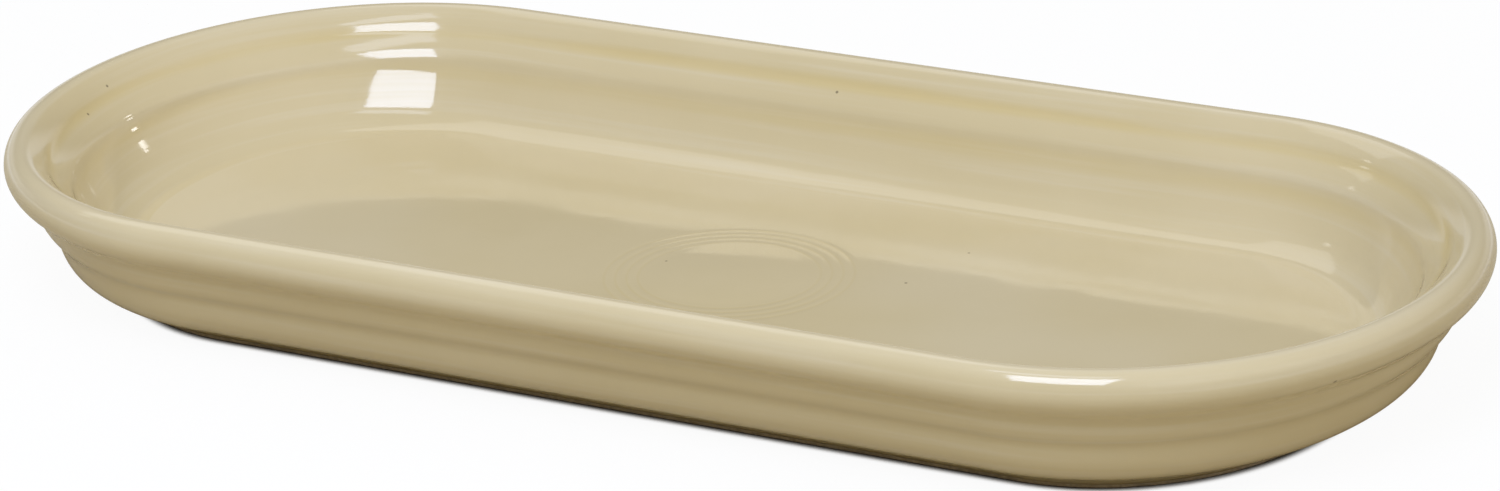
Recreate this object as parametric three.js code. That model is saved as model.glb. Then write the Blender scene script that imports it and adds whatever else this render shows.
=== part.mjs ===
// A bread tray: a long tray with straight sides and round ends, cast in one piece of clay and fired.
// Glaze covers the inside, the rim and the outside down to the foot ring, and the hollow under the base.
// The foot ring itself is wiped bare, so the two coats of glaze never meet.
//
// Sizes are in millimetres, +Z is up, +X runs along the tray, and the foot ring stands on z = 0.
// A profile point is [inset, height]: how far it lies inside the widest outline, and its height.
import * as THREE from 'three';

// Outline
const LENGTH = 304.8;
const WIDTH = 146.0;
const HEIGHT = 30.5;
const END_LENGTH = 66.8; // from the tip of an end to where the straight side starts
const END_LEAN = 1.055; // the wall leans in this much further at the tips than along the sides

// Rim bead, with drops counted down from its top
const RIM_WIDTH = 7.9;
const RIM_TOP_INSET = 2.7;
const RIM_INNER_RADIUS = 3.7;
const RIM_INNER_TURN = 40; // degrees that the bead turns down on its inner side
const RIM_WIDEST_DROP = 4.4;
const RIM_SIDE_DROP = 3.7; // steep stretch below the widest line
const RIM_UNDER_REACH = 0.7; // the bead leaves the upper groove by this much outwards
const RIM_UNDER_RISE = 1.2; // and this much upwards

// Grooves that part the bands of the wall, with walls measured level from outside to inside
const OUTER_UPPER_DROP = 10.8;
const OUTER_UPPER_INSET = 5.4;
const OUTER_LOWER_DROP = 16.6;
const OUTER_STEP = 3.7; // how much further in the lower groove lies
const INNER_UPPER_DROP = 4.2;
const INNER_LOWER_DROP = 10.1;
const UPPER_WALL = 6.9; // upper outer groove to lower inner groove
const LOWER_WALL = 8.3; // lower outer groove to the top of the cove

// Curves of the bands between the grooves
const OUTER_SWELL = 1.3;
const LOWER_BAND_STEEP = 7.3; // steep stretch below the lower outer groove
const SHOULDER_REACH = 0.6; // the rim's inner slope comes down into the upper groove from this far out
const SHOULDER_RISE = 1.5; // and this far up
const RIB_STEEP = 1.8; // steep stretch above the lower inner groove
const INNER_HOLLOW = 0.33; // the band below that groove is hollow by this much
const FLARE_REACH = 8.3; // shallow stretch next to the foot ring
const FLARE_RISE = 2.7;

// Floor and foot ring
const FLOOR_THICKNESS = 6.4;
const BASE_RECESS = 2.6;
const COVE_REACH = 7.8;
const COVE_RISE = 3.3;
const COVE_LEAN = 2.7; // how far the wall would still lean in before it met the floor
const FOOT_INSET = 22.2;
const FOOT_WIDTH = 5.5;
const FOOT_HEIGHT = 2.0;
const BASE_COVE = 1.6;

// Plain rings pressed into the middle of the floor
const RING_COUNT = 4;
const RING_OUTER_RADIUS = 24.4;
const RING_PITCH = 2.2;
const RING_GROOVE_WIDTH = 1.2;
const RING_DEPTH = 0.3;

// Glaze
const GLAZE = 0.4;
const GLAZE_LINE = 0.9; // height of the bare stretch on both sides of the foot ring

// Facets
const END_STEPS = 18;
const RING_STEPS = 36;
const CURVE_STEPS = 4;

const floorHeight = BASE_RECESS + FLOOR_THICKNESS;
const footInnerInset = FOOT_INSET + FOOT_WIDTH;

const point = (inset, height) => new THREE.Vector2(inset, height);

// Bezier control point that makes a band swell by the given amount to the left of its direction
function swellControl(start, end, swell) {
  const along = end.clone().sub(start).normalize();
  const left = point(-along.y, along.x);
  return start.clone().add(end).multiplyScalar(0.5).addScaledVector(left, 2 * swell);
}

// Glazed surface from the foot ring up the outside, over the rim and down to the floor
function trayPath() {
  const footTop = point(FOOT_INSET, FOOT_HEIGHT);
  const outerLower = point(OUTER_UPPER_INSET + OUTER_STEP, HEIGHT - OUTER_LOWER_DROP);
  const outerUpper = point(OUTER_UPPER_INSET, HEIGHT - OUTER_UPPER_DROP);
  const widest = point(0, HEIGHT - RIM_WIDEST_DROP);
  const top = point(RIM_TOP_INSET, HEIGHT);
  const bead = new THREE.EllipseCurve(
    top.x, top.y - RIM_INNER_RADIUS, RIM_INNER_RADIUS, RIM_INNER_RADIUS,
    Math.PI / 2, Math.PI / 2 - THREE.MathUtils.degToRad(RIM_INNER_TURN), true,
  );
  const innerUpper = point(RIM_WIDTH, HEIGHT - INNER_UPPER_DROP);
  const innerLower = point(OUTER_UPPER_INSET + UPPER_WALL, HEIGHT - INNER_LOWER_DROP);
  const coveTop = point(outerLower.x + LOWER_WALL, floorHeight + COVE_RISE);
  const floorEdge = point(coveTop.x + COVE_REACH, floorHeight);

  const curves = [
    new THREE.CubicBezierCurve(
      footTop,
      point(footTop.x - FLARE_REACH, footTop.y + FLARE_RISE),
      point(outerLower.x, outerLower.y - LOWER_BAND_STEEP),
      outerLower,
    ),
    new THREE.QuadraticBezierCurve(outerLower, swellControl(outerLower, outerUpper, OUTER_SWELL), outerUpper),
    new THREE.CubicBezierCurve(
      outerUpper,
      point(outerUpper.x - RIM_UNDER_REACH, outerUpper.y + RIM_UNDER_RISE),
      point(widest.x, widest.y - RIM_SIDE_DROP),
      widest,
    ),
    new THREE.EllipseCurve(
      top.x, widest.y, top.x - widest.x, RIM_WIDEST_DROP, Math.PI, Math.PI / 2, true,
    ),
    bead,
    new THREE.QuadraticBezierCurve(
      bead.getPoint(1),
      point(innerUpper.x - SHOULDER_REACH, innerUpper.y + SHOULDER_RISE),
      innerUpper,
    ),
    new THREE.QuadraticBezierCurve(innerUpper, point(innerLower.x, innerLower.y + RIB_STEEP), innerLower),
    new THREE.QuadraticBezierCurve(innerLower, swellControl(innerLower, coveTop, -INNER_HOLLOW), coveTop),
    new THREE.QuadraticBezierCurve(coveTop, point(coveTop.x + COVE_LEAN, floorEdge.y), floorEdge),
  ];
  const path = [point(FOOT_INSET, GLAZE_LINE), footTop];
  for (const curve of curves) {
    path.push(...curve.getPoints(CURVE_STEPS).slice(1));
  }
  return path;
}

// Glazed surface from the middle of the base's hollow out to the bare foot ring
function basePath() {
  const hollowEdge = point(footInnerInset + BASE_COVE, BASE_RECESS);
  const glazeEdge = point(footInnerInset, GLAZE_LINE);
  const cove = new THREE.QuadraticBezierCurve(hollowEdge, point(glazeEdge.x, hollowEdge.y), glazeEdge);
  return cove.getPoints(CURVE_STEPS);
}

// The clay under a glazed path, GLAZE deep below it; before and after are the normals past its two ends
function clayUnder(path, before, after) {
  const normals = [before];
  for (let i = 1; i < path.length; i += 1) {
    const along = path[i].clone().sub(path[i - 1]).normalize();
    normals.push(point(-along.y, along.x));
  }
  normals.push(after);
  return path.map((place, i) => {
    const mitre = normals[i].clone().add(normals[i + 1]);
    mitre.divideScalar(1 + normals[i].dot(normals[i + 1]));
    return place.clone().addScaledVector(mitre, -GLAZE);
  });
}

// Closed bodies are collected from loops of points, strips between loops and flat plates
class Body {
  constructor() {
    this.positions = [];
    this.triangles = [];
  }

  loop(points) {
    const start = this.positions.length / 3;
    for (const place of points) {
      this.positions.push(place.x, place.y, place.z);
    }
    return { points, indices: points.map((_, i) => start + i) };
  }

  // Loop at one inset and height: two half ellipses joined by straight sides, anticlockwise from above
  outline({ x: inset, y: height }) {
    const points = [];
    for (const side of [1, -1]) {
      for (let i = 0; i <= END_STEPS; i += 1) {
        const angle = (i / END_STEPS - 0.5) * Math.PI;
        const x = LENGTH / 2 - END_LENGTH + (END_LENGTH - inset * END_LEAN) * Math.cos(angle);
        const y = (WIDTH / 2 - inset) * Math.sin(angle);
        points.push(new THREE.Vector3(side * x, side * y, height));
      }
    }
    return this.loop(points);
  }

  circle(radius, height) {
    const points = [];
    for (let i = 0; i < RING_STEPS; i += 1) {
      const angle = (i / RING_STEPS) * 2 * Math.PI;
      points.push(new THREE.Vector3(radius * Math.cos(angle), radius * Math.sin(angle), height));
    }
    return this.loop(points);
  }

  face(a, b, c, flipped) {
    this.triangles.push(...(flipped ? [a, c, b] : [a, b, c]));
  }

  strip(from, to, flipped = false) {
    const count = from.indices.length;
    for (let i = 0; i < count; i += 1) {
      const next = (i + 1) % count;
      this.face(from.indices[i], from.indices[next], to.indices[next], flipped);
      this.face(from.indices[i], to.indices[next], to.indices[i], flipped);
    }
  }

  // Sweeps a profile round the outline and gives back its first and last loops
  sweep(path, flipped = false) {
    const loops = path.map((place) => this.outline(place));
    for (let i = 1; i < loops.length; i += 1) {
      this.strip(loops[i - 1], loops[i], flipped);
    }
    return { first: loops[0], last: loops[loops.length - 1] };
  }

  // Flat plate that faces up, with a hole where one is given
  plate(edge, hole, flipped = false) {
    const holes = hole ? [hole] : [];
    const indices = [edge, ...holes].flatMap((loop) => loop.indices);
    const faces = THREE.ShapeUtils.triangulateShape(edge.points, holes.map((loop) => loop.points));
    for (const [a, b, c] of faces) {
      this.face(indices[a], indices[b], indices[c], flipped);
    }
  }

  // The tray's floor inside an edge loop, with the pressed rings round its middle
  ringedFloor(edge, flipped = false) {
    const height = edge.points[0].z;
    const loops = [];
    for (let i = 0; i < RING_COUNT; i += 1) {
      const radius = RING_OUTER_RADIUS - i * RING_PITCH;
      loops.push(this.circle(radius + RING_GROOVE_WIDTH / 2, height));
      loops.push(this.circle(radius, height - RING_DEPTH));
      loops.push(this.circle(radius - RING_GROOVE_WIDTH / 2, height));
    }
    this.plate(edge, loops[0], flipped);
    for (let i = 1; i < loops.length; i += 1) {
      this.strip(loops[i - 1], loops[i], flipped);
    }
    this.plate(loops[loops.length - 1], null, flipped);
  }

  mesh(name, material) {
    const geometry = new THREE.BufferGeometry();
    geometry.setAttribute('position', new THREE.Float32BufferAttribute(this.positions, 3));
    geometry.setIndex(this.triangles);
    geometry.computeVertexNormals();
    const mesh = new THREE.Mesh(geometry, material);
    mesh.name = name;
    return mesh;
  }
}

const OUT = point(-1, 0);
const UP = point(0, 1);
const IN = point(1, 0);
const DOWN = point(0, -1);

const glazedTray = trayPath();
const clayTray = clayUnder(glazedTray, OUT, UP);
const glazedBase = basePath();
const clayBase = clayUnder(glazedBase, DOWN, IN);

// The fired clay: base hollow, bare foot ring, wall and floor
function clayBody(material) {
  const body = new Body();
  const footRing = [
    point(clayBase[clayBase.length - 1].x, 0),
    point(clayTray[0].x, 0),
  ];
  const skin = body.sweep([...clayBase, ...footRing, ...clayTray]);
  body.plate(skin.first, null, true);
  body.ringedFloor(skin.last);
  return body.mesh('clay_body', material);
}

// The coat over the inside, the rim and the outside, closed where it stops above the foot ring
function glazeCoat(material) {
  const body = new Body();
  const front = body.sweep(glazedTray);
  const back = body.sweep(clayTray, true);
  body.strip(back.first, front.first);
  body.ringedFloor(front.last);
  body.ringedFloor(back.last, true);
  return body.mesh('glaze_coat', material);
}

// The coat in the hollow of the base, closed where it stops inside the foot ring
function baseGlaze(material) {
  const body = new Body();
  const front = body.sweep(glazedBase);
  const back = body.sweep(clayBase, true);
  body.strip(front.last, back.last);
  body.plate(front.first, null, true);
  body.plate(back.first, null);
  return body.mesh('base_glaze', material);
}

const bareClay = new THREE.MeshStandardMaterial({ color: 0xe4d8c0, roughness: 0.85, metalness: 0 });
const ivoryGlaze = new THREE.MeshStandardMaterial({ color: 0xe6d6a9, roughness: 0.12, metalness: 0 });

const tray = new THREE.Group();
tray.name = 'bread_tray';
tray.add(clayBody(bareClay), glazeCoat(ivoryGlaze), baseGlaze(ivoryGlaze));

export default tray;
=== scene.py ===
# A glazed bread tray on a white table, under a large softbox beside the camera and a broad light behind.
import math

import bpy
import numpy as np
from mathutils import Matrix, Vector


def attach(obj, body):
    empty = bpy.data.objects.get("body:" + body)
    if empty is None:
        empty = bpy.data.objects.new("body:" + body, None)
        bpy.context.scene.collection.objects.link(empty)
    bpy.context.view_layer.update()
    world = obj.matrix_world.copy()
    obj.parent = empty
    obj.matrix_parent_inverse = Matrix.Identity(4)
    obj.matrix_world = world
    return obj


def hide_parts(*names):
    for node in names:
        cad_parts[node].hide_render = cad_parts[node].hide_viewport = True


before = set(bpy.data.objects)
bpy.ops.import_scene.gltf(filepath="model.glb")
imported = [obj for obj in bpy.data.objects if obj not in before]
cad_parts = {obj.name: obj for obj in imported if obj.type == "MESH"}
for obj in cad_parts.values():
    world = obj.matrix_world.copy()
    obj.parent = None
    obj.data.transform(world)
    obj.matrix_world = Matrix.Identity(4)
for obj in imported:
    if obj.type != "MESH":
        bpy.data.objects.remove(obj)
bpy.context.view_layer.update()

# Sizes are in millimetres and become metres where a mesh is made.
# A profile point is (inset, height): how far it lies inside the widest outline, and its height.
MM = 0.001

# Outline. Softening takes the crest of the rim a little below HEIGHT.
LENGTH = 304.8
WIDTH = 146.0
HEIGHT = 30.9
END_LENGTH = 66.8
END_LEAN = 1.055

# Rim bead
RIM_TOP_INSET = 3.55
RIM_WIDEST_DROP = 4.5
RIM_SIDE_DROP = 3.7
RIM_UNDER_REACH = 0.7
RIM_UNDER_RISE = 1.2
RIM_INNER_RADIUS = 2.7
RIM_INNER_TURN = 41

# Outside of the wall
OUTER_UPPER = (5.4, 20.2)
OUTER_LOWER = (9.1, 14.1)
OUTER_SWELL = 1.1
LOWER_BAND_STEEP = 7.3
FLARE_REACH = 8.3
FLARE_RISE = 2.7

# Inside of the wall: a groove under the rim, the edge of the rib below it, and the bends between them
SHOULDER_BEND = (8.3, 27.7)
GROOVE = (8.5, 26.55)
RIB_BEND = (11.15, 24.35)
RIB_EDGE = (12.75, 21.9)
HOLLOW_BEND = (13.2, 19.35)
COVE_TOP = (17.35, 13.45)
COVE_BEND = 20.45
FLOOR_EDGE = 26.0
FLOOR_HEIGHT = 9.0

# Base
FOOT_INSET = 22.2
FOOT_WIDTH = 5.5
FOOT_HEIGHT = 2.0
FOOT_ROUNDING = 0.5
BASE_RECESS = 2.6
BASE_COVE = 1.6

# Plain rings pressed into the middle of the floor
RING_COUNT = 4
RING_OUTER_RADIUS = 24.4
RING_PITCH = 2.2
RING_HALF_WIDTH = 0.6
RING_DEPTH = 0.04
RING_FIELD_RADIUS = 27.0
DOME_RADIUS = 16.5
DOME_RISE = 0.4

# Glaze: its thickness, the height where it ends above the foot, and how far it rounds the corners
GLAZE = 0.4
GLAZE_LINE = 0.9
OUTER_SOFTENING = 1.3
INNER_SOFTENING = 0.6
SOFTENING_CHANGE = 8.0

# Where glaze pools and where edges shed it, by how sharply the profile bends per millimetre
OUTSIDE_POOLING = 0.15
RING_POOLING = 0.038
POOL_REACH = 1.5
POOL_STARTS = 0.02
POOL_FULL = 0.058
EDGE_BEND = -0.12
THIN_STARTS = -0.08
THIN_FULL = -0.4

# Mesh fineness
PROFILE_STEP = 0.5
HIDDEN_STEP = 2.0
SOFTENING_STEP = 0.1
RING_STEP = 0.35
CURVE_POINTS = 40
FOOT_POINTS = 8
END_POINTS = 144
SIDE_POINTS = 12
PLATE_LOOPS = 6
FLOOR_LOOPS = 8
DOME_LOOPS = 12


# Curves of the profile
def quadratic(start, control, end):
    t = np.linspace(0, 1, CURVE_POINTS)[:, None]
    return (1 - t) ** 2 * np.array(start) + 2 * t * (1 - t) * np.array(control) + t ** 2 * np.array(end)


def cubic(start, first, second, end):
    t = np.linspace(0, 1, CURVE_POINTS)[:, None]
    near = (1 - t) ** 3 * np.array(start) + 3 * t * (1 - t) ** 2 * np.array(first)
    far = 3 * t ** 2 * (1 - t) * np.array(second) + t ** 3 * np.array(end)
    return near + far


def arc(centre, across, up, first_angle, last_angle, count=CURVE_POINTS):
    angle = np.radians(np.linspace(first_angle, last_angle, count))
    return np.stack([centre[0] + across * np.cos(angle), centre[1] + up * np.sin(angle)], axis=1)


def swell_control(start, end, swell):
    """Control point that makes a band swell to the left of its direction."""
    start, end = np.array(start), np.array(end)
    along = (end - start) / np.linalg.norm(end - start)
    return (start + end) / 2 + 2 * swell * np.array([-along[1], along[0]])


def even(path, step):
    """The same path with its points spaced evenly, about one step apart."""
    lengths = np.concatenate([[0], np.cumsum(np.linalg.norm(np.diff(path, axis=0), axis=1))])
    count = max(2, round(lengths[-1] / step) + 1)
    places = np.linspace(0, lengths[-1], count)
    return np.stack([np.interp(places, lengths, path[:, k]) for k in (0, 1)], axis=1)


def soften(path):
    """Rounds the corners as glaze does, more outside than inside, and keeps both ends in place."""
    path = even(path, SOFTENING_STEP)
    margin = round(3 * OUTER_SOFTENING / SOFTENING_STEP)
    before = 2 * path[0] - path[margin:0:-1]
    after = 2 * path[-1] - path[-2:-margin - 2:-1]
    padded = np.concatenate([before, path, after])
    past_top = SOFTENING_STEP * (np.arange(len(padded)) - margin - path[:, 1].argmax())
    kept = past_top[margin:-margin, None]
    reach = np.interp(kept, [-SOFTENING_CHANGE, 0], [OUTER_SOFTENING, INNER_SOFTENING])
    weights = np.exp(-0.5 * ((kept - past_top) / reach) ** 2)
    return weights @ padded / weights.sum(axis=1)[:, None]


def direction(path):
    """Unit vector along a path at each of its points."""
    step = np.gradient(path, axis=0)
    return step / np.linalg.norm(step, axis=1)[:, None]


def turning(path):
    """How sharply a path bends at each point, per millimetre: above 0 in a hollow, below 0 on an edge."""
    along = direction(path)
    step = np.linalg.norm(np.gradient(path, axis=0), axis=1)
    change = np.gradient(along, axis=0)
    return (along[:, 0] * change[:, 1] - along[:, 1] * change[:, 0]) / step


def shared_out(values, reach):
    """Values along a path of profile steps, each one shared out over its neighbours."""
    places = np.arange(len(values)) * PROFILE_STEP
    weights = np.exp(-0.5 * ((places[:, None] - places) / reach) ** 2)
    return weights @ values / weights.sum(axis=1)


# Profiles of the tray
def outer_path():
    """Outside of the tray, from the end of the glaze above the foot ring up to the top of the rim."""
    foot_top = (FOOT_INSET, FOOT_HEIGHT)
    widest = (0, HEIGHT - RIM_WIDEST_DROP)
    parts = [
        np.array([(FOOT_INSET, GLAZE_LINE), foot_top]),
        cubic(
            foot_top,
            (foot_top[0] - FLARE_REACH, foot_top[1] + FLARE_RISE),
            (OUTER_LOWER[0], OUTER_LOWER[1] - LOWER_BAND_STEEP),
            OUTER_LOWER,
        ),
        quadratic(OUTER_LOWER, swell_control(OUTER_LOWER, OUTER_UPPER, OUTER_SWELL), OUTER_UPPER),
        cubic(
            OUTER_UPPER,
            (OUTER_UPPER[0] - RIM_UNDER_REACH, OUTER_UPPER[1] + RIM_UNDER_RISE),
            (widest[0], widest[1] - RIM_SIDE_DROP),
            widest,
        ),
        arc((RIM_TOP_INSET, widest[1]), RIM_TOP_INSET, RIM_WIDEST_DROP, 180, 90),
    ]
    return np.concatenate(parts)


def inner_path():
    """Inside of the tray, from the top of the rim down to the edge of its flat floor."""
    bead_centre = (RIM_TOP_INSET, HEIGHT - RIM_INNER_RADIUS)
    bead = arc(bead_centre, RIM_INNER_RADIUS, RIM_INNER_RADIUS, 90, 90 - RIM_INNER_TURN)
    parts = [
        bead,
        quadratic(bead[-1], SHOULDER_BEND, GROOVE),
        quadratic(GROOVE, RIB_BEND, RIB_EDGE),
        quadratic(RIB_EDGE, HOLLOW_BEND, COVE_TOP),
        quadratic(COVE_TOP, (COVE_BEND, FLOOR_HEIGHT), (FLOOR_EDGE, FLOOR_HEIGHT)),
    ]
    return np.concatenate(parts)


def tray_path():
    return soften(np.concatenate([outer_path(), inner_path()[1:]]))


def base_path():
    """Hollow of the base, from its flat middle out to the bare foot ring."""
    foot_inner = FOOT_INSET + FOOT_WIDTH
    hollow = (foot_inner + BASE_COVE, BASE_RECESS)
    return quadratic(hollow, (foot_inner, BASE_RECESS), (foot_inner, GLAZE_LINE))


def foot_path(outer_inset, inner_inset):
    """Bare underside of the foot ring, from the hollow's glaze round to the outer glaze."""
    corner = FOOT_ROUNDING
    return np.concatenate([
        arc((inner_inset - corner, corner), corner, corner, 0, -90, FOOT_POINTS),
        arc((outer_inset + corner, corner), corner, corner, -90, -180, FOOT_POINTS),
    ])


def clay_under(path):
    """The clay below a glazed path."""
    along = direction(path)
    left = np.stack([-along[:, 1], along[:, 0]], axis=1)
    return path - GLAZE * left


def glaze_marks(path):
    """Marks along the tray's profile: above 0 where glaze pools, below 0 on sharp edges that shed it."""
    bend = turning(path)
    outside = np.arange(len(path)) < path[:, 1].argmax()
    in_cove = ~outside & (path[:, 1] < COVE_TOP[1])
    hollows = np.maximum(bend, 0)
    hollows[outside] *= OUTSIDE_POOLING
    hollows[in_cove] = 0
    return np.where(bend < EDGE_BEND, bend, shared_out(hollows, POOL_REACH))


# Loops and meshes
def outline(inset, height):
    """Loop round the tray at one inset and height, anticlockwise from above."""
    middle = LENGTH / 2 - END_LENGTH
    angle = np.linspace(-math.pi / 2, math.pi / 2, END_POINTS)
    end_x = middle + (END_LENGTH - inset * END_LEAN) * np.cos(angle)
    end_y = (WIDTH / 2 - inset) * np.sin(angle)
    side_x = np.linspace(middle, -middle, SIDE_POINTS + 2)[1:-1]
    side_y = np.full(SIDE_POINTS, WIDTH / 2 - inset)
    half_x = np.concatenate([end_x, side_x])
    half_y = np.concatenate([end_y, side_y])
    x = np.concatenate([half_x, -half_x])
    y = np.concatenate([half_y, -half_y])
    return np.stack([x, y, np.full(len(x), height)], axis=1)


def circle(radius, height):
    """Round loop with as many points as an outline, so that a strip can join the two."""
    count = 2 * (END_POINTS + SIDE_POINTS)
    angle = (np.arange(count) - (END_POINTS - 1) / 2) * 2 * math.pi / count
    return np.stack([radius * np.cos(angle), radius * np.sin(angle), np.full(count, height)], axis=1)


class Skin:
    """A mesh gathered from loops, each marked with how its glaze lies and how far down its path it is."""

    def __init__(self):
        self.points = []
        self.faces = []
        self.hollow = []
        self.down = []
        self.last_down = 0.0
        self.count = 0

    def loop(self, points, hollow=0.0):
        start = self.count
        self.points.append(points)
        self.hollow.append(np.full(len(points), hollow))
        self.down.append(np.full(len(points), self.last_down))
        self.count += len(points)
        return np.arange(start, self.count)

    def strip(self, first, second, flipped=False):
        quads = np.stack([first, np.roll(first, -1), np.roll(second, -1), second], axis=1)
        self.faces += (quads[:, ::-1] if flipped else quads).tolist()

    def cap(self, edge, middle, flipped=False):
        pole = self.loop(np.array([middle], dtype=float))[0]
        for first, second in zip(edge.tolist(), np.roll(edge, -1).tolist()):
            self.faces.append([second, first, pole] if flipped else [first, second, pole])

    def chain(self, loops, flipped=False):
        for first, second in zip(loops, loops[1:]):
            self.strip(first, second, flipped)

    def sweep(self, path, flipped=False, marks=None):
        """Carries a profile round the outline and gives back its loops."""
        marks = np.zeros(len(path)) if marks is None else marks
        loops = []
        for k in range(len(path)):
            self.last_down = k * PROFILE_STEP
            loops.append(self.loop(outline(*path[k]), marks[k]))
        self.chain(loops, flipped)
        return loops

    def plate(self, edge, point, flipped=False):
        """Flat plate inside the outline at a profile point."""
        inset, height = point
        rim = outline(inset, height)
        loops = [edge]
        for step in range(1, PLATE_LOOPS):
            loops.append(self.loop(rim + (circle(0, height) - rim) * step / PLATE_LOOPS))
        self.chain(loops, flipped)
        self.cap(loops[-1], (0, 0, height), flipped)

    def ringed_floor(self, edge, point):
        """The tray's floor, with soft rings pressed into its middle round a very low dome."""
        inset, height = point
        rim = outline(inset, height)
        field = circle(RING_FIELD_RADIUS, height)
        loops = [edge]
        for step in range(1, FLOOR_LOOPS + 1):
            loops.append(self.loop(rim + (field - rim) * step / FLOOR_LOOPS))
        rings = RING_OUTER_RADIUS - RING_PITCH * np.arange(RING_COUNT)
        for radius in np.arange(RING_FIELD_RADIUS - RING_STEP, DOME_RADIUS, -RING_STEP):
            pressed = np.exp(-((radius - rings) / RING_HALF_WIDTH) ** 2).sum()
            loops.append(self.loop(circle(radius, height - RING_DEPTH * pressed), RING_POOLING * pressed))
        for radius in np.linspace(DOME_RADIUS, 0, DOME_LOOPS, endpoint=False):
            risen = DOME_RISE * (1 - (radius / DOME_RADIUS) ** 2)
            loops.append(self.loop(circle(radius, height + risen)))
        self.chain(loops)
        self.cap(loops[-1], (0, 0, height + DOME_RISE))

    def thing(self, name, material):
        mesh = bpy.data.meshes.new(name)
        mesh.from_pydata((np.concatenate(self.points) * MM).tolist(), [], self.faces)
        for label, marks in (("hollow", self.hollow), ("down", self.down)):
            attribute = mesh.attributes.new(label, "FLOAT", "POINT")
            attribute.data.foreach_set("value", np.concatenate(marks).astype(np.float32))
        mesh.shade_smooth()
        mesh.materials.append(material)
        made = bpy.data.objects.new(mesh.name, mesh)
        bpy.context.scene.collection.objects.link(made)
        return made

    def piece(self, name, material, node):
        """A piece of the tray, in place of one CAD node."""
        made = self.thing(name, material)
        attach(made, "root")
        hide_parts(node)


# Materials
class Nodes:
    """A tree of nodes, each made and linked in one call."""

    def __init__(self, tree):
        self.tree = tree

    def add(self, kind, settings=None, **inputs):
        node = self.tree.nodes.new(kind)
        for key, value in (settings or {}).items():
            setattr(node, key, value)
        for key, value in inputs.items():
            self.set(node.inputs[key.replace("_", " ")], value)
        return node

    def set(self, socket, value):
        if isinstance(value, bpy.types.NodeSocket):
            self.tree.links.new(value, socket)
        else:
            socket.default_value = value

    def place(self):
        return self.add("ShaderNodeTexCoord").outputs["Object"]

    def mark(self, name):
        return self.add("ShaderNodeAttribute", {"attribute_name": name}).outputs["Fac"]

    def noise(self, scale, detail=2.0):
        node = self.add("ShaderNodeTexNoise", Vector=self.place(), Scale=scale, Detail=detail)
        return node.outputs["Fac"]

    def streaks(self, along, across):
        """Noise drawn out along the rim: along in features a metre, across in features a millimetre."""
        place = self.add("ShaderNodeSeparateXYZ", Vector=self.place()).outputs
        drawn = self.add(
            "ShaderNodeCombineXYZ",
            X=self.math("MULTIPLY", place["X"], along),
            Y=self.math("MULTIPLY", place["Y"], along),
            Z=self.math("MULTIPLY", self.mark("down"), across),
        )
        node = self.add("ShaderNodeTexNoise", Vector=drawn.outputs["Vector"], Scale=1.0, Detail=2.0)
        return node.outputs["Fac"]

    def spot(self, place, radius):
        """A soft round spot, with its place and radius in millimetres."""
        away = self.add("ShaderNodeVectorMath", {"operation": "DISTANCE"})
        self.set(away.inputs[0], self.place())
        self.set(away.inputs[1], Vector(place) * MM)
        return self.range(away.outputs["Value"], 1.4 * radius * MM, 0.6 * radius * MM)

    def range(self, value, low, high, out_low=0.0, out_high=1.0):
        """Smooth step from one value at low to another at high."""
        node = self.add("ShaderNodeMapRange", {"interpolation_type": "SMOOTHSTEP"}, Value=value)
        node.inputs["From Min"].default_value = low
        node.inputs["From Max"].default_value = high
        node.inputs["To Min"].default_value = out_low
        node.inputs["To Max"].default_value = out_high
        return node.outputs["Result"]

    def math(self, operation, first, second):
        node = self.add("ShaderNodeMath", {"operation": operation})
        self.set(node.inputs[0], first)
        self.set(node.inputs[1], second)
        return node.outputs["Value"]

    def mix(self, share, first, second):
        """One colour mixed with another. The node's colour sockets are inputs 6 and 7 and output 2."""
        node = self.add("ShaderNodeMix", {"data_type": "RGBA"})
        self.set(node.inputs["Factor"], share)
        for socket, value in ((node.inputs[6], first), (node.inputs[7], second)):
            self.set(socket, value if isinstance(value, bpy.types.NodeSocket) else (*value, 1.0))
        return node.outputs[2]

    def either(self, share, first, second):
        """One surface mixed with another."""
        node = self.add("ShaderNodeMixShader", Fac=share)
        self.set(node.inputs[1], first)
        self.set(node.inputs[2], second)
        return node.outputs["Shader"]

    def bump(self, height, distance, normal=None):
        node = self.add("ShaderNodeBump", Height=height, Distance=distance, Strength=1.0)
        if normal is not None:
            self.set(node.inputs["Normal"], normal)
        return node.outputs["Normal"]


class Material(Nodes):
    """A material's nodes, with its surface shader and its output."""

    def __init__(self, name):
        self.material = bpy.data.materials.new(name)
        self.material.use_nodes = True
        super().__init__(self.material.node_tree)
        self.shader = self.tree.nodes["Principled BSDF"]
        self.output = self.tree.nodes["Material Output"]


# Glaze colours, and how strongly each change of colour shows
IVORY = (0.643, 0.535, 0.317)
IVORY_POOLED = (0.61, 0.475, 0.205)
IVORY_THIN = (0.665, 0.57, 0.375)
IVORY_DEEP = (0.622, 0.514, 0.295)
POOLED_SHARE = 0.68
THIN_SHARE = 0.5
STREAK_SHARE = 0.6
GLAZE_IOR = 1.52
GLAZE_ROUGHNESS = (0.05, 0.09)

# Unevenness of the glaze: scales in features a metre, depths in metres
CLOUD_SCALE = 18
PATCH_SCALE = 22
WAVE_SCALE = 55
GLOSS_SCALE = 60
PEEL_SCALE = 520
STREAK_ALONG = 14
STREAK_ACROSS = 0.45
WAVE_DEPTH = 0.0001
STREAK_DEPTH = 0.00004
PEEL_DEPTH = 0.000004

# Iron specks in the glaze: their colour, how strongly it shows, and each one's place and radius
SPECK = (0.12, 0.09, 0.05)
SPECK_SHARE = 0.7
SPECKS = [
    ((-14.8, 1.4, 9.1), 0.25),
    ((33.5, 9.6, 9.0), 0.3),
    ((37.5, 29.0, 9.0), 0.25),
    ((141.8, -36.6, 23.4), 0.4),
    ((-8.6, 62.9, 25.1), 0.3),
    ((-144.4, 0.5, 28.0), 0.3),
    ((-141.8, -10.4, 25.8), 0.3),
]


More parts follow.
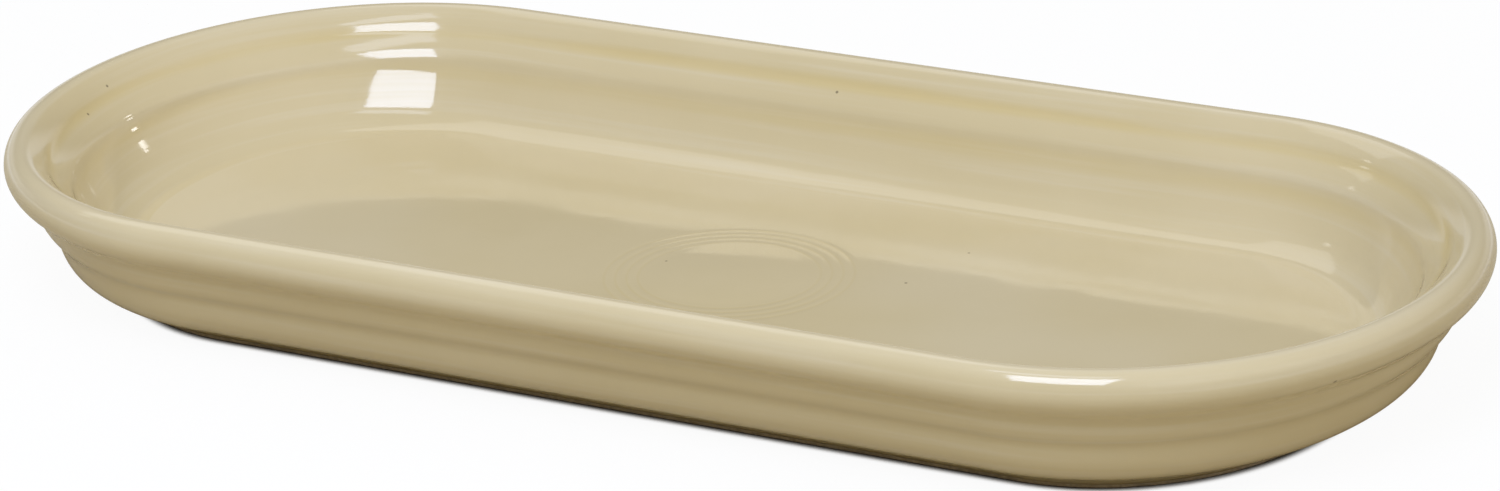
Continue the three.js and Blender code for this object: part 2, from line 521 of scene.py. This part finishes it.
def glaze_colour(nodes, drawn):
    """Ivory with clouds, streaks and specks, yellower where it pools and paler where it is thin."""
    hollow = nodes.mark("hollow")
    patches = nodes.range(nodes.noise(PATCH_SCALE), 0.3, 0.7, 0.5, 1.0)
    pooled = nodes.math("MULTIPLY", nodes.range(hollow, POOL_STARTS, POOL_FULL), patches)
    thin = nodes.range(hollow, THIN_STARTS, THIN_FULL)
    colour = nodes.mix(nodes.range(nodes.noise(CLOUD_SCALE, 4), 0.35, 0.65), IVORY, IVORY_DEEP)
    colour = nodes.mix(nodes.range(drawn, 0.45, 0.75, 0.0, STREAK_SHARE), colour, IVORY_THIN)
    colour = nodes.mix(nodes.math("MULTIPLY", pooled, POOLED_SHARE), colour, IVORY_POOLED)
    colour = nodes.mix(nodes.math("MULTIPLY", thin, THIN_SHARE), colour, IVORY_THIN)
    for place, radius in SPECKS:
        colour = nodes.mix(nodes.math("MULTIPLY", nodes.spot(place, radius), SPECK_SHARE), colour, SPECK)
    return colour


def glaze_material():
    nodes = Material("ivory_glaze")
    drawn = nodes.streaks(STREAK_ALONG, STREAK_ACROSS)
    gloss = nodes.range(nodes.noise(GLOSS_SCALE), 0.3, 0.7, *GLAZE_ROUGHNESS)
    ripple = nodes.bump(nodes.noise(WAVE_SCALE, 1), WAVE_DEPTH)
    ripple = nodes.bump(drawn, STREAK_DEPTH, ripple)
    ripple = nodes.bump(nodes.noise(PEEL_SCALE, 2), PEEL_DEPTH, ripple)
    nodes.set(nodes.shader.inputs["Base Color"], glaze_colour(nodes, drawn))
    nodes.set(nodes.shader.inputs["Roughness"], gloss)
    nodes.set(nodes.shader.inputs["Normal"], ripple)
    nodes.shader.inputs["IOR"].default_value = GLAZE_IOR
    return nodes.material


# Bare clay of the foot ring, worn darker in places
CLAY_PALE = (0.66, 0.56, 0.41)
CLAY_DEEP = (0.54, 0.45, 0.32)
CLAY_WORN = (0.33, 0.29, 0.23)
CLAY_ROUGHNESS = (0.75, 0.95)
GRAIN_SCALE = 900
GRAIN_DEPTH = 0.00006
WEAR_SCALE = 70
WEAR_SHARE = 0.6


def clay_material():
    nodes = Material("bare_clay")
    grain = nodes.noise(GRAIN_SCALE, 6)
    colour = nodes.mix(nodes.range(grain, 0.35, 0.65), CLAY_PALE, CLAY_DEEP)
    worn = nodes.range(nodes.noise(WEAR_SCALE, 3), 0.5, 0.75, 0.0, WEAR_SHARE)
    nodes.set(nodes.shader.inputs["Base Color"], nodes.mix(worn, colour, CLAY_WORN))
    nodes.set(nodes.shader.inputs["Roughness"], nodes.range(grain, 0.3, 0.7, *CLAY_ROUGHNESS))
    nodes.set(nodes.shader.inputs["Normal"], nodes.bump(grain, GRAIN_DEPTH))
    return nodes.material


# Table: its tones, the light it sends back, its darker tone mirrored from close by as painted shade, and
# its painted contact shadow round the foot, with distances in metres
TABLE_TONE = (0.9, 0.9, 0.9)
TABLE_TONE_DEEP = (0.88, 0.88, 0.88)
TABLE_SENT_BACK = (0.615, 0.545, 0.395)
TABLE_OWN_WHITE = 0.95
MIRRORED_FROM = 0.05
MIRRORED_FULL = 0.5
PAINTED_CONTACT_SHADOW = (0.13, 0.105, 0.055)
CONTACT_REACH = 0.0034
CONTACT_SAMPLES = 32
CONTACT_DARK = 0.2
CONTACT_CLEAR = 0.45


def floor_material():
    """White to the eye and in mirrors from far off, with a faint real shadow of the tray and a painted
    contact shadow round the foot; clear from below, to show the base.
    """
    nodes = Material("white_table")
    path = nodes.add("ShaderNodeLightPath").outputs
    # Mirrored from close by, the table shows its darker sent-back tone instead of its white: painted shade
    # in the tray's reflections.
    far_off = nodes.range(path["Ray Length"], MIRRORED_FROM, MIRRORED_FULL)
    mirrored = nodes.math("MULTIPLY", path["Is Glossy Ray"], far_off)
    seen = nodes.math("MAXIMUM", path["Is Camera Ray"], mirrored)
    seen = nodes.math("MAXIMUM", seen, path["Is Transmission Ray"])
    # Painted contact shadow: where the tray closes in round the foot, the table's colour turns dark and its
    # own white fades.
    contact = nodes.add("ShaderNodeAmbientOcclusion", {"samples": CONTACT_SAMPLES}, Distance=CONTACT_REACH)
    unshaded = nodes.range(contact.outputs["AO"], CONTACT_DARK, CONTACT_CLEAR)
    tone_with_painted_shadow = nodes.mix(nodes.noise(3), TABLE_TONE, TABLE_TONE_DEEP)
    tone_with_painted_shadow = nodes.mix(unshaded, PAINTED_CONTACT_SHADOW, tone_with_painted_shadow)
    shadowed = nodes.add("ShaderNodeBsdfDiffuse", Color=tone_with_painted_shadow).outputs["BSDF"]
    white = nodes.add("ShaderNodeEmission", Color=(1, 1, 1, 1), Strength=1.0).outputs["Emission"]
    pale = nodes.add("ShaderNodeBsdfDiffuse", Color=(*TABLE_SENT_BACK, 1)).outputs["BSDF"]
    clear = nodes.add("ShaderNodeBsdfTransparent").outputs["BSDF"]
    from_below = nodes.add("ShaderNodeNewGeometry").outputs["Backfacing"]
    visible = nodes.either(nodes.math("MULTIPLY", unshaded, TABLE_OWN_WHITE), shadowed, white)
    from_above = nodes.either(seen, pale, visible)
    nodes.set(nodes.output.inputs["Surface"], nodes.either(from_below, from_above, clear))
    return nodes.material


# The tray
glaze = glaze_material()
clay = clay_material()

glazed_tray = even(tray_path(), PROFILE_STEP)
glazed_base = even(base_path(), PROFILE_STEP)
clay_tray = even(clay_under(glazed_tray), HIDDEN_STEP)
clay_base = even(clay_under(glazed_base), HIDDEN_STEP)


def glaze_coat():
    skin = Skin()
    front = skin.sweep(glazed_tray, marks=glaze_marks(glazed_tray))
    skin.ringed_floor(front[-1], glazed_tray[-1])
    back = skin.sweep(clay_tray, flipped=True)
    skin.strip(back[0], front[0])
    skin.plate(back[-1], clay_tray[-1], flipped=True)
    skin.piece("glaze", glaze, "glaze_coat")


def base_coat():
    skin = Skin()
    front = skin.sweep(glazed_base, marks=turning(glazed_base))
    back = skin.sweep(clay_base, flipped=True)
    skin.strip(front[-1], back[-1])
    skin.plate(front[0], glazed_base[0], flipped=True)
    skin.plate(back[0], clay_base[0])
    skin.piece("base_glaze_coat", glaze, "base_glaze")


def clay_casting():
    skin = Skin()
    bare = foot_path(clay_tray[0][0], clay_base[-1][0])
    loops = skin.sweep(np.concatenate([clay_base, bare, clay_tray]))
    skin.plate(loops[0], clay_base[0], flipped=True)
    skin.plate(loops[-1], clay_tray[-1])
    skin.piece("clay", clay, "clay_body")


glaze_coat()
base_coat()
clay_casting()

# Table, open under the foot ring, so that the base can be looked at from below
TABLE_RADIUS = 8000.0
top = Skin()
top.strip(top.loop(circle(TABLE_RADIUS, 0)), top.loop(outline(FOOT_INSET + FOOT_WIDTH / 4, 0)))
top.thing("table", floor_material())

# Light, with places and sizes in metres and radiance as the brightness of the lit face
TRAY_MIDDLE = Vector((0, 0, 0.02))
LEFT_END = Vector((-0.138, 0, 0.02))
KEY_COLOUR = (0.88, 1.0, 1.3)
WIDE_SPREAD = 180


def softbox(name, place, width, height, radiance, colour=(1, 1, 1), aim=TRAY_MIDDLE, spread=WIDE_SPREAD):
    """A flat lamp; one with a narrow spread, in degrees, lights only what lies near its aim."""
    lamp = bpy.data.lights.new(name, "AREA")
    lamp.shape = "RECTANGLE"
    lamp.size = width
    lamp.size_y = height
    lamp.color = colour
    lamp.energy = radiance * math.pi * width * height
    lamp.spread = math.radians(spread)
    if spread < WIDE_SPREAD:
        # A lamp gathers all its energy into its spread, so less of it gives the same brightness at the aim.
        half = lamp.spread / 2
        lamp.energy *= 1 - half / math.tan(half)
    made = bpy.data.objects.new(name, lamp)
    made.location = place
    made.rotation_euler = (Vector(aim) - Vector(place)).to_track_quat("-Z", "Y").to_euler()
    made.visible_camera = False
    bpy.context.scene.collection.objects.link(made)


softbox("key", (0.154, -0.71, 0.873), 0.536, 0.54, 8.5, KEY_COLOUR)
softbox("key_top", (0.013, -0.241, 0.86), 0.42, 0.13, 2.6, KEY_COLOUR)
softbox("back", (-0.95, 0.45, 1.45), 1.2, 0.8, 1.1)
softbox("small_low", (0.66, 1.02, 0.33), 0.06, 0.06, 11.0, aim=LEFT_END, spread=22)
softbox("small_high", (0.55, 1.01, 0.51), 0.06, 0.06, 9.0, aim=LEFT_END, spread=22)
softbox("small_left", (-0.92, -0.13, 0.68), 0.07, 0.07, 2.5)

# Surroundings of the tray, brighter behind, overhead and on the right than at the ends
SKYLINE = (0.7, 0.68, 0.64)
WORLD_LOW = (0.245, 0.22, 0.17)
WORLD_ENDS = (0.12, 0.11, 0.088)
WORLD_HIGH = (0.45, 0.432, 0.4)
WORLD_RIGHT = (1.12, 1.09, 1.04)
WORLD_BELOW = (0.9, 0.89, 0.87)


def studio_world():
    world = bpy.data.worlds.new("studio")
    bpy.context.scene.world = world
    world.use_nodes = True
    nodes = Nodes(world.node_tree)
    facing = nodes.add("ShaderNodeTexCoord").outputs["Generated"]
    way = nodes.add("ShaderNodeSeparateXYZ", Vector=facing).outputs
    in_front = nodes.range(way["Y"], 0.1, -0.7)
    low_behind = nodes.math("MULTIPLY", nodes.range(way["Z"], 0.28, 0.12), nodes.range(way["Y"], -0.4, 0.3))
    overhead = nodes.range(way["Z"], 0.45, 0.85)
    high_right = nodes.math("MULTIPLY", nodes.range(way["X"], 0.2, 0.9), nodes.range(way["Z"], 0.2, 0.5))
    beneath = nodes.range(way["Z"], -0.05, -0.3)
    colour = nodes.mix(in_front, WORLD_ENDS, WORLD_LOW)
    colour = nodes.mix(low_behind, colour, SKYLINE)
    colour = nodes.mix(overhead, colour, WORLD_HIGH)
    colour = nodes.mix(high_right, colour, WORLD_RIGHT)
    colour = nodes.mix(beneath, colour, WORLD_BELOW)
    nodes.set(world.node_tree.nodes["Background"].inputs["Color"], colour)


studio_world()

# Camera, solved from the photograph: pixels are those of a picture 1500 wide and 491 high
PICTURE_WIDTH = 1500
FOCAL_PIXELS = 5573.85
SENSOR = 36.0
AZIMUTH = math.radians(28.917)
ELEVATION = math.radians(20.708)
ROLL = math.radians(-1.973)
DISTANCE = 1.047437
AIM = Vector((0.018052, -0.024029, 0.026126))


def photo_camera():
    data = bpy.data.cameras.new("camera")
    data.sensor_width = SENSOR
    data.lens = FOCAL_PIXELS * SENSOR / PICTURE_WIDTH
    camera = bpy.data.objects.new("camera", data)
    bpy.context.scene.collection.objects.link(camera)
    back = Vector((
        math.sin(AZIMUTH) * math.cos(ELEVATION),
        -math.cos(AZIMUTH) * math.cos(ELEVATION),
        math.sin(ELEVATION),
    ))
    level = Vector((math.cos(AZIMUTH), math.sin(AZIMUTH), 0))
    upright = back.cross(level)
    right = math.cos(ROLL) * level + math.sin(ROLL) * upright
    up = math.cos(ROLL) * upright - math.sin(ROLL) * level
    turn = Matrix((right, up, back)).transposed().to_4x4()
    camera.matrix_world = Matrix.Translation(AIM + DISTANCE * back) @ turn
    bpy.context.scene.camera = camera


photo_camera()
bpy.context.scene.view_settings.view_transform = "Standard"
